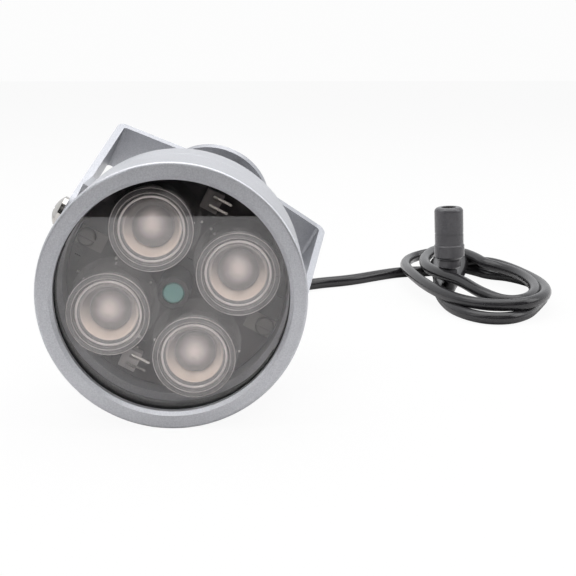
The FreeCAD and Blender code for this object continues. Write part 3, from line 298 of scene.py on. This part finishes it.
FINISHES = {
    # Lacquer full of aluminium flake over a turned casting, near black inside the bore behind its lip
    silver_lacquer("silver_lacquer_barrel", "#b6b7bc", "#c9cace", 0.40, black_bore=True): ["front_barrel"],
    silver_lacquer("silver_lacquer_shell", "#b6b7bc", "#c9cace", 0.40): ["rear_shell"],
    # The same lacquer on folded sheet, a shade greyer
    silver_lacquer("silver_lacquer_bracket", "#a3a5aa", "#b8b9be", 0.38): ["bracket"],
    # Nickel on turned steel: the brightest metal here, with sharp small highlights
    plated_metal("nickel_plate", "#c9c6c2", 0.14, 0.6): ["pivot_screw_left", "pivot_screw_right"],
    tin_plate: ["terminal_pins"],
    # Blackened steel: a dull grey
    plated_metal("blackened_steel", "#74716e", 0.42, 0.5): ["board_screws", "screw_tabs"],
    # Plated contact metal, slightly yellow
    plated_metal("contact_plate", "#c4bfae", 0.20, 0.5): ["socket_sleeve", "socket_pin"],
    # Turned brass: warm yellow
    plated_metal("turned_brass", "#b8954f", 0.24, 0.3): ["board_spacers"],
    # Drawn aluminium: pale and satin
    plated_metal("aluminium_can", "#c2c3c5", 0.35, 0.4): ["capacitor"],
    # Float glass: clear, with one sharp reflection of the table
    clear_piece("float_glass", "#f7f4f4", 1.6, 0.0): ["front_window"],
    # Moulded acrylic: clear with a little haze that greys what lies behind it
    clear_piece("polished_acrylic", "#fcfaf9", 1.49, 0.01, haze=0.10): [
        "lens_1", "lens_2", "lens_3", "lens_4"],
    # Vacuum film on a moulded bowl: cream on its lower side, with painted shade that darkens its upper side
    reflector_painted_shade("reflector_painted_shade", "#f0dfd0", "#59524f", 5.2): [
        "reflector_1", "reflector_2", "reflector_3", "reflector_4"],
    # Every emitter takes the resin with the painted highlight and painted dark rim
    resin_painted_highlight: ["emitter_1", "emitter_2", "emitter_3", "emitter_4"],
    # Moulded ABS: near black, with a fine grain
    moulded_plastic("black_abs", "#1b1b1c", "#232324", 0.42, 0.3): [
        "sensor_collar", "choke", "surface_parts"],
    # Etched ABS, so matt that the ring behind the window vanishes
    moulded_plastic("matt_black_abs", "#0c0c0c", "#121212", 0.6, 0.3): ["retaining_ring"],
    # Moulded nylon: black with a low sheen on the gland's flats
    moulded_plastic("black_nylon", "#161617", "#202021", 0.48, 0.25): [
        "gland_body", "gland_lock_nut", "gland_cap"],
    # Moulded rubber: black and dull
    moulded_plastic("black_rubber", "#151515", "#1c1c1c", 0.7, 0.3): [
        "window_gasket", "sealing_ring", "gland_seal", "gland_bush"],
    # Dyed resin over the light sensor: a glossy blue-green spot
    moulded_plastic("teal_resin", "#4a7b78", "#66968f", 0.25, 0.7, ior=1.52): ["light_sensor"],
    grey_nylon: ["terminal_block_upper", "terminal_block_lower"],
    # Soft PVC on the inner leads: deep red
    moulded_plastic("red_pvc", "#5a1411", "#6b1c18", 0.4, 0.3): ["supply_leads"],
    # PVC moulded over the socket: dark grey with a silky highlight down its side
    moulded_plastic("dark_pvc_moulding", "#424144", "#4d4c4f", 0.26, 0.22): ["socket_body", "socket_relief"],
    # Black solder mask: glossy, with faint tracks
    solder_mask("solder_mask", "#242021", "#322d2e"): ["lamp_board", "driver_board"],
}
for finish, nodes in FINISHES.items():
    for node in nodes:
        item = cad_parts[node]
        item.data.materials.clear()
        item.data.materials.append(finish)
# Light passes straight through the clear pieces to what lies behind them
for node in ("front_window", "lens_1", "lens_2", "lens_3", "lens_4"):
    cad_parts[node].visible_shadow = False


# Connectors, solder, resin domes and painted lens edge highlights, all sizes in millimetres in the lamp's
# frame

# Connectors: their distance from the board's middle, then the shell, its groove walls and the contacts
BLOCK_PLACE = 24.0
SHELL_BACK = -4.0
GROOVE_BACK = -2.2
SHELL_FRONT = 0.8
SHELL_HALF = 2.7
BOARD_GAP = 0.02
BED_RISE = 2.4
WALL_RISE = 4.0
WALLS = ((-SHELL_HALF, -1.75), (-0.75, 0.75), (1.75, SHELL_HALF))
POLES = (-1.25, 1.25)
BLADE_HALF = 0.32
BLADE_SPAN = (-1.9, 3.4)
BLADE_RISE = (2.7, 3.2)
LEG_SPAN = (3.0, 3.5)
LEG_RISE = 3.0
SHELL_BEVEL = 0.12
CONTACT_BEVEL = 0.1
# Solder joints: each one's place across and up the board, and its radius
SOLDER_LIFT = 0.1
SOLDER_SPOTS = [
    (7.4, 2.6, 0.35), (-4.9, 3.6, 0.4), (-6.0, -3.4, 0.35), (4.8, -5.2, 0.4), (1.6, 16.9, 0.4),
    (-1.4, 17.4, 0.35), (2.0, -17.0, 0.4), (-2.4, -16.6, 0.45), (-1.2, -21.2, 0.35), (17.2, 1.9, 0.4),
    (-17.0, -1.8, 0.4), (24.6, 9.8, 0.4), (-24.4, -9.6, 0.4), (23.6, -9.4, 0.35), (-23.2, 9.9, 0.35)]
# Resin dome on each emitter
DOME_FOOT = BOARD_FRONT + 9.6
DOME_RADIUS = 4.75
DOME_RISE = 3.3
DOME_STEPS = 10
DOME_CORNERS = 48
# Painted highlight rings on a lens's edges: radius, width and height of each ring
EDGE_DEPTH = 0.24
EDGE_SIDES = 6
EDGE_CORNERS = 72
LENS_EDGES = {
    "lens_rim_edge": (10.55, 0.14, LENS_FRONT - 0.12),
    "lens_slope_edge": (9.3, 0.12, LENS_FRONT - 0.12),
    "lens_step_edge": (8.25, 0.62, LENS_FRONT - 1.3),
}
BOX_FACES = ((0, 1, 3, 2), (4, 6, 7, 5), (0, 4, 5, 1), (2, 3, 7, 6), (0, 2, 6, 4), (1, 5, 7, 3))


def lamp_point(x, y, z):
    """World place of a point given in millimetres in the lamp's own frame."""
    across = Vector((math.cos(LAMP_ROLL), 0, -math.sin(LAMP_ROLL)))
    upward = Vector((math.sin(LAMP_ROLL), 0, math.cos(LAMP_ROLL)))
    return LAMP_FACE + (across * x + upward * y + Vector((0, -1, 0)) * z) * MM


def housing_piece(name, build, material):
    """Turn a finished mesh into an object that moves with the housing."""
    mesh = bpy.data.meshes.new(name)
    build.to_mesh(mesh)
    build.free()
    item = bpy.data.objects.new(name, mesh)
    item.data.materials.append(material)
    scene.collection.objects.link(item)
    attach(item, "housing")
    return item


def boxes_piece(name, boxes, bevel, material, replaced):
    """One object of several bevelled boxes, each given by two opposite corners."""
    build = bmesh.new()
    for low, high in boxes:
        corners = [build.verts.new(lamp_point(x, y, z))
                   for x in (low[0], high[0]) for y in (low[1], high[1]) for z in (low[2], high[2])]
        for face in BOX_FACES:
            build.faces.new([corners[index] for index in face])
    bmesh.ops.recalc_face_normals(build, faces=build.faces)
    bmesh.ops.bevel(build, geom=build.edges[:], offset=bevel * MM, segments=2, affect="EDGES")
    item = housing_piece(name, build, material)
    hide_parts(replaced)


def make_connector(name, side, replaced):
    """Flat two-pole connector: nylon shell with two open grooves. Returns its contacts' boxes."""
    middle = BLOCK_PLACE * side
    foot = BOARD_FRONT + BOARD_GAP
    bed, top = foot + BED_RISE, foot + WALL_RISE
    shell = [((SHELL_BACK, middle - SHELL_HALF, foot), (SHELL_FRONT, middle + SHELL_HALF, bed)),
             ((SHELL_BACK, middle - SHELL_HALF, bed), (GROOVE_BACK, middle + SHELL_HALF, top))]
    for low, high in WALLS:
        shell.append(((GROOVE_BACK, middle + low, bed), (SHELL_FRONT, middle + high, top)))
    boxes_piece(name, shell, SHELL_BEVEL, grey_nylon, replaced)
    contacts = []
    for pole in POLES:
        low, high = middle + pole - BLADE_HALF, middle + pole + BLADE_HALF
        contacts += [
            ((BLADE_SPAN[0], low, foot + BLADE_RISE[0]), (BLADE_SPAN[1], high, foot + BLADE_RISE[1])),
            ((LEG_SPAN[0], low, foot), (LEG_SPAN[1], high, foot + LEG_RISE))]
    return contacts


def make_solder(name):
    """Small balls of solder, half sunk in the lamp board."""
    build = bmesh.new()
    for x, y, radius in SOLDER_SPOTS:
        made = bmesh.ops.create_uvsphere(build, u_segments=12, v_segments=8, radius=radius * MM)
        bmesh.ops.translate(build, verts=made["verts"], vec=lamp_point(x, y, BOARD_FRONT + SOLDER_LIFT))
    housing_piece(name, build, lead_solder)


def beside_axis(number, radius, turn, height):
    """World place at this distance and direction from a lens's axis, and this high on it."""
    angle = math.radians(90 * number - 45)
    return lamp_point(LENS_PLACE * math.cos(angle) + radius * math.cos(turn),
                      LENS_PLACE * math.sin(angle) + radius * math.sin(turn), height)


def lens_ring(build, number, radius, height, corners):
    """Corners of a circle round a lens's axis."""
    turns = [2 * math.pi * index / corners for index in range(corners)]
    return [build.verts.new(beside_axis(number, radius, turn, height)) for turn in turns]


def join_rings(build, low, high):
    """Band of faces between two circles with the same number of corners."""
    for index in range(len(low)):
        after = (index + 1) % len(low)
        build.faces.new((low[index], low[after], high[after], high[index]))


def make_dome(name, number):
    """Round resin dome on an emitter's post, standing a little wider than its cup's foot."""
    build = bmesh.new()
    rings = []
    for step in range(DOME_STEPS):
        lift = math.pi / 2 * step / DOME_STEPS
        rings.append(lens_ring(build, number, DOME_RADIUS * math.cos(lift),
                               DOME_FOOT + DOME_RISE * math.sin(lift), DOME_CORNERS))
    for low, high in zip(rings, rings[1:]):
        join_rings(build, low, high)
    top = build.verts.new(beside_axis(number, 0, 0, DOME_FOOT + DOME_RISE))
    for index in range(DOME_CORNERS):
        build.faces.new((rings[-1][index], rings[-1][(index + 1) % DOME_CORNERS], top))
    foot = build.faces.new(list(reversed(rings[0])))
    bmesh.ops.recalc_face_normals(build, faces=build.faces)
    for face in build.faces:
        face.smooth = face != foot
    housing_piece(name, build, resin_painted_highlight)


def make_edge_highlight(name, number, radius, width, height):
    """Painted highlight on a clear lens's polished edge: a thin rounded ring of bright metal on the lens's
    front.
    """
    build = bmesh.new()
    rings = []
    for side in range(EDGE_SIDES):
        around = 2 * math.pi * side / EDGE_SIDES
        rings.append(lens_ring(build, number, radius + width / 2 * math.cos(around),
                               height + EDGE_DEPTH / 2 * math.sin(around), EDGE_CORNERS))
    for here, there in zip(rings, rings[1:] + rings[:1]):
        join_rings(build, here, there)
    bmesh.ops.recalc_face_normals(build, faces=build.faces)
    for face in build.faces:
        face.smooth = True
    item = housing_piece(name, build, lens_edge_highlight)
    item.visible_shadow = False


for number in range(1, 5):
    make_dome("resin_dome_%d" % number, number)
for number in range(1, 5):
    for edge, sizes in LENS_EDGES.items():
        make_edge_highlight("%s_%d" % (edge, number), number, *sizes)
upper_contacts = make_connector("connector_upper", 1, "terminal_block_upper")
lower_contacts = make_connector("connector_lower", -1, "terminal_block_lower")
boxes_piece("connector_contacts", upper_contacts + lower_contacts, CONTACT_BEVEL, tin_plate,
            "terminal_pins")
make_solder("solder_joints")


# Cord

CORD_DIAMETER = 4.4 * MM
# From the gland's bush down behind the lamp and across the table to the coil, in millimetres
CORD_ROUTE = [
    (-3.85, 9.69, 34.0),
    (-3.8, 19.9, 34.0),
    (-3.8, 28.3, 26.9),
    (-3.6, 35.3, 14.8),
    (-2.6, 46.2, 9.7),
    (1.5, 64.0, 4.6),
    (9.5, 84.0, 2.3),
    (22.0, 108.0, 2.3),
    (40.5, 124.0, 2.3),
    (56.0, 129.5, 2.3),
    (69.6, 140.0, 2.3),
    (80.0, 146.5, 2.3),
]
COIL_CENTRE = (106.0, 119.5)
COIL_REACH = (27.0, 62.0)
COIL_START = 135.0
COIL_STEP = 22.5
# Share of the coil's reach and height above the table, eight for each turn, clockwise from above
COIL_SHARES = [
    0.63, 0.60, 0.47, 0.93, 0.81, 0.92, 0.92, 0.55,
    0.63, 0.55, 0.56, 0.79, 0.92, 0.86, 0.89, 0.96,
    1.04, 0.60, 0.35, 0.65, 0.79, 0.77, 0.56, 0.74, 0.72,
]
COIL_HEIGHTS = [
    2.3, 2.3, 2.3, 2.3, 2.3, 2.3, 2.3, 4.8,
    6.7, 4.9, 6.7, 5.5, 7.0, 6.2, 5.9, 7.0,
    4.9, 9.0, 7.9, 6.6, 6.6, 6.4, 9.2, 9.4, 9.4,
]
# From the last turn round behind the socket and up into its strain relief
CORD_END = [
    (95.5, 157.5, 9.4),
    (102.5, 160.0, 9.2),
    (107.0, 153.0, 8.2),
    (105.0, 141.5, 5.6),
    (100.5, 129.5, 3.2),
    (96.3, 120.0, 2.3),
    (93.5, 109.4, 2.3),
    (93.5, 109.3, 7.4),
]


def coil_points():
    """Points of the loose turns, two for each eighth of a turn."""
    points = []
    steps = (len(COIL_SHARES) - 1) * 2
    for step in range(steps + 1):
        first = min(step // 2, len(COIL_SHARES) - 2)
        part = step / 2 - first
        share = smooth_value(COIL_SHARES, first, part)
        height = smooth_value(COIL_HEIGHTS, first, part)
        turn = math.radians(COIL_START - COIL_STEP * step)
        points.append((COIL_CENTRE[0] + COIL_REACH[0] * share * math.cos(turn),
                       COIL_CENTRE[1] + COIL_REACH[1] * share * math.sin(turn), height))
    return points


def smooth_value(values, first, part):
    """Value between two of a row's numbers, on a smooth curve through all of them."""
    before = values[max(first - 1, 0)]
    here, there = values[first], values[first + 1]
    after = values[min(first + 2, len(values) - 1)]
    slope_here, slope_there = (there - before) / 2, (after - here) / 2
    rise = there - here
    return (here + slope_here * part + (3 * rise - 2 * slope_here - slope_there) * part ** 2
            + (slope_here + slope_there - 2 * rise) * part ** 3)


def make_cord():
    """The whole cord as one smooth round curve."""
    route = CORD_ROUTE + coil_points() + CORD_END
    curve = bpy.data.curves.new("cord", "CURVE")
    curve.dimensions = "3D"
    curve.bevel_depth = CORD_DIAMETER / 2
    curve.bevel_resolution = 6
    curve.resolution_u = 10
    curve.use_fill_caps = True
    spline = curve.splines.new("NURBS")
    spline.points.add(len(route) - 1)
    for point, place in zip(spline.points, route):
        point.co = (*[value * MM for value in place], 1.0)
    spline.order_u = 3
    spline.use_endpoint_u = True
    cord = bpy.data.objects.new("cord", curve)
    scene.collection.objects.link(cord)
    return cord


cord = make_cord()
# Soft PVC sheath: near black, glossy enough for a light line along every turn
cord.data.materials.append(
    moulded_plastic("dark_pvc_sheath", "#1d1c1e", "#252426", 0.24, 0.6, relief_mm=0.02))
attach(cord, "housing")
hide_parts("cord_tube", "cord_coil")


# Table, dark card in front of it, lamps and camera, in metres

TABLE_HALF = 2
TABLE_FRONT = -0.397
TABLE_BACK = 3
# Share of plain white in what the camera sees of the table; the rest is its lit surface with the shadows
TABLE_WHITE = 0.93
CARD_PLACE = TABLE_FRONT - 0.01
CARD_HALF = 0.9
CARD_FOOT = -0.1
CARD_TOP = 0.75
# Brightness of the room in front of the part and behind it, and where one turns into the other
ROOM_FRONT = 0.16
ROOM_BACK = 0.95
ROOM_TURN = (-0.25, 0.45)
# Brightness of the backdrop where the camera sees it, level with the table's white
BACKDROP = 0.978


def make_plane(name, corners, material):
    """Flat stage piece through four corners."""
    mesh = bpy.data.meshes.new(name)
    mesh.from_pydata(corners, [], [tuple(range(len(corners)))])
    item = bpy.data.objects.new(name, mesh)
    item.data.materials.append(material)
    scene.collection.objects.link(item)
    return item


def table_top():
    """Matt white laminate. Seen directly it is mostly even white, so that only soft shadows show."""
    material, tree, output, place = new_material("white_table")
    path = add(tree, "ShaderNodeLightPath")
    cloud = add(tree, "ShaderNodeTexNoise", {"Vector": place, "Scale": per(TABLE_CLOUD), "Detail": 2.0})
    colour = add(tree, "ShaderNodeMix", {
        "Factor": cloud.outputs["Fac"], 6: srgb("#d6d5d5"), 7: srgb("#dbdada")}, data_type="RGBA")
    diffuse = add(tree, "ShaderNodeBsdfDiffuse", {"Color": colour.outputs[2]})
    glow = add(tree, "ShaderNodeEmission", {"Color": srgb("#ffffff"), "Strength": 1.0})
    share = add(tree, "ShaderNodeMath", {
        0: path.outputs["Is Camera Ray"], 1: TABLE_WHITE}, operation="MULTIPLY")
    mixed = add(tree, "ShaderNodeMixShader", {
        0: share.outputs[0], 1: diffuse.outputs[0], 2: glow.outputs[0]})
    tree.links.new(mixed.outputs[0], output.inputs["Surface"])
    return material


def dark_card():
    """Black felt on a card: it takes the light and gives the window something dark to mirror."""
    material, tree, output, place = new_material("dark_card")
    felt = add(tree, "ShaderNodeTexNoise", {"Vector": place, "Scale": per(FELT_FIBRE), "Detail": 2.0})
    colour = add(tree, "ShaderNodeMix", {
        "Factor": felt.outputs["Fac"], 6: srgb("#161616"), 7: srgb("#1c1c1c")}, data_type="RGBA")
    diffuse = add(tree, "ShaderNodeBsdfDiffuse", {"Color": colour.outputs[2]})
    tree.links.new(diffuse.outputs[0], output.inputs["Surface"])
    return material


def studio_world():
    """White paper behind and above the part, a dim room in front of it, plain white where it is seen."""
    world = bpy.data.worlds.new("studio")
    world.use_nodes = True
    tree = world.node_tree
    tree.nodes.clear()
    path = add(tree, "ShaderNodeLightPath")
    direction = add(tree, "ShaderNodeTexCoord").outputs["Generated"]
    parts = add(tree, "ShaderNodeSeparateXYZ", {0: direction})
    strength = add(tree, "ShaderNodeMapRange", {
        "Value": parts.outputs["Y"], "From Min": ROOM_TURN[0], "From Max": ROOM_TURN[1],
        "To Min": ROOM_FRONT, "To Max": ROOM_BACK}, interpolation_type="SMOOTHSTEP")
    room = add(tree, "ShaderNodeBackground", {
        "Color": srgb("#f3f4f6"), "Strength": strength.outputs["Result"]})
    seen = add(tree, "ShaderNodeBackground", {"Color": srgb("#ffffff"), "Strength": BACKDROP})
    mixed = add(tree, "ShaderNodeMixShader", {
        0: path.outputs["Is Camera Ray"], 1: room.outputs[0], 2: seen.outputs[0]})
    add(tree, "ShaderNodeOutputWorld", {"Surface": mixed.outputs[0]})
    return world


def make_softbox(name, place, aim, width, depth, power):
    """Rectangular soft lamp at a place, turned towards its aim."""
    light = bpy.data.lights.new(name, "AREA")
    light.shape = "RECTANGLE"
    light.size = width
    light.size_y = depth
    light.energy = power
    item = bpy.data.objects.new(name, light)
    item.location = place
    item.rotation_euler = (Vector(aim) - Vector(place)).to_track_quat("-Z", "Y").to_euler()
    scene.collection.objects.link(item)


make_plane("table", [(-TABLE_HALF, TABLE_FRONT, 0), (TABLE_HALF, TABLE_FRONT, 0),
                     (TABLE_HALF, TABLE_BACK, 0), (-TABLE_HALF, TABLE_BACK, 0)], table_top())
card = make_plane("front_card", [(-CARD_HALF, CARD_PLACE, CARD_FOOT), (CARD_HALF, CARD_PLACE, CARD_FOOT),
                                 (CARD_HALF, CARD_PLACE, CARD_TOP), (-CARD_HALF, CARD_PLACE, CARD_TOP)],
                  dark_card())
card.visible_camera = False
card.visible_shadow = False
scene.world = studio_world()
# A broad soft light above, fills at both sides, and a smaller one in front that lights the lenses
make_softbox("overhead_softbox", (0.0, 0.10, 0.80), (0.0, 0.05, 0.0), 1.3, 0.9, 7.6)
make_softbox("left_softbox", (-0.7, -0.1, 0.45), (0.0, 0.0, 0.03), 0.5, 0.5, 1.0)
make_softbox("right_softbox", (0.75, 0.0, 0.45), (0.05, 0.05, 0.03), 0.5, 0.5, 1.8)
make_softbox("front_softbox", (0.0, -0.75, 0.62), (0.0, -0.04, 0.03), 0.5, 0.25, 3.8)

camera_data = bpy.data.cameras.new("camera")
camera_data.lens = 68.75
camera_data.sensor_width = 36.0
camera_data.clip_start = 0.01
camera = bpy.data.objects.new("camera", camera_data)
camera.location = (0.01572, -0.30818, 0.09476)
camera.rotation_euler = (math.radians(77.71), 0.0, math.radians(-2.01))
scene.collection.objects.link(camera)
scene.camera = camera
scene.view_settings.view_transform = "Standard"
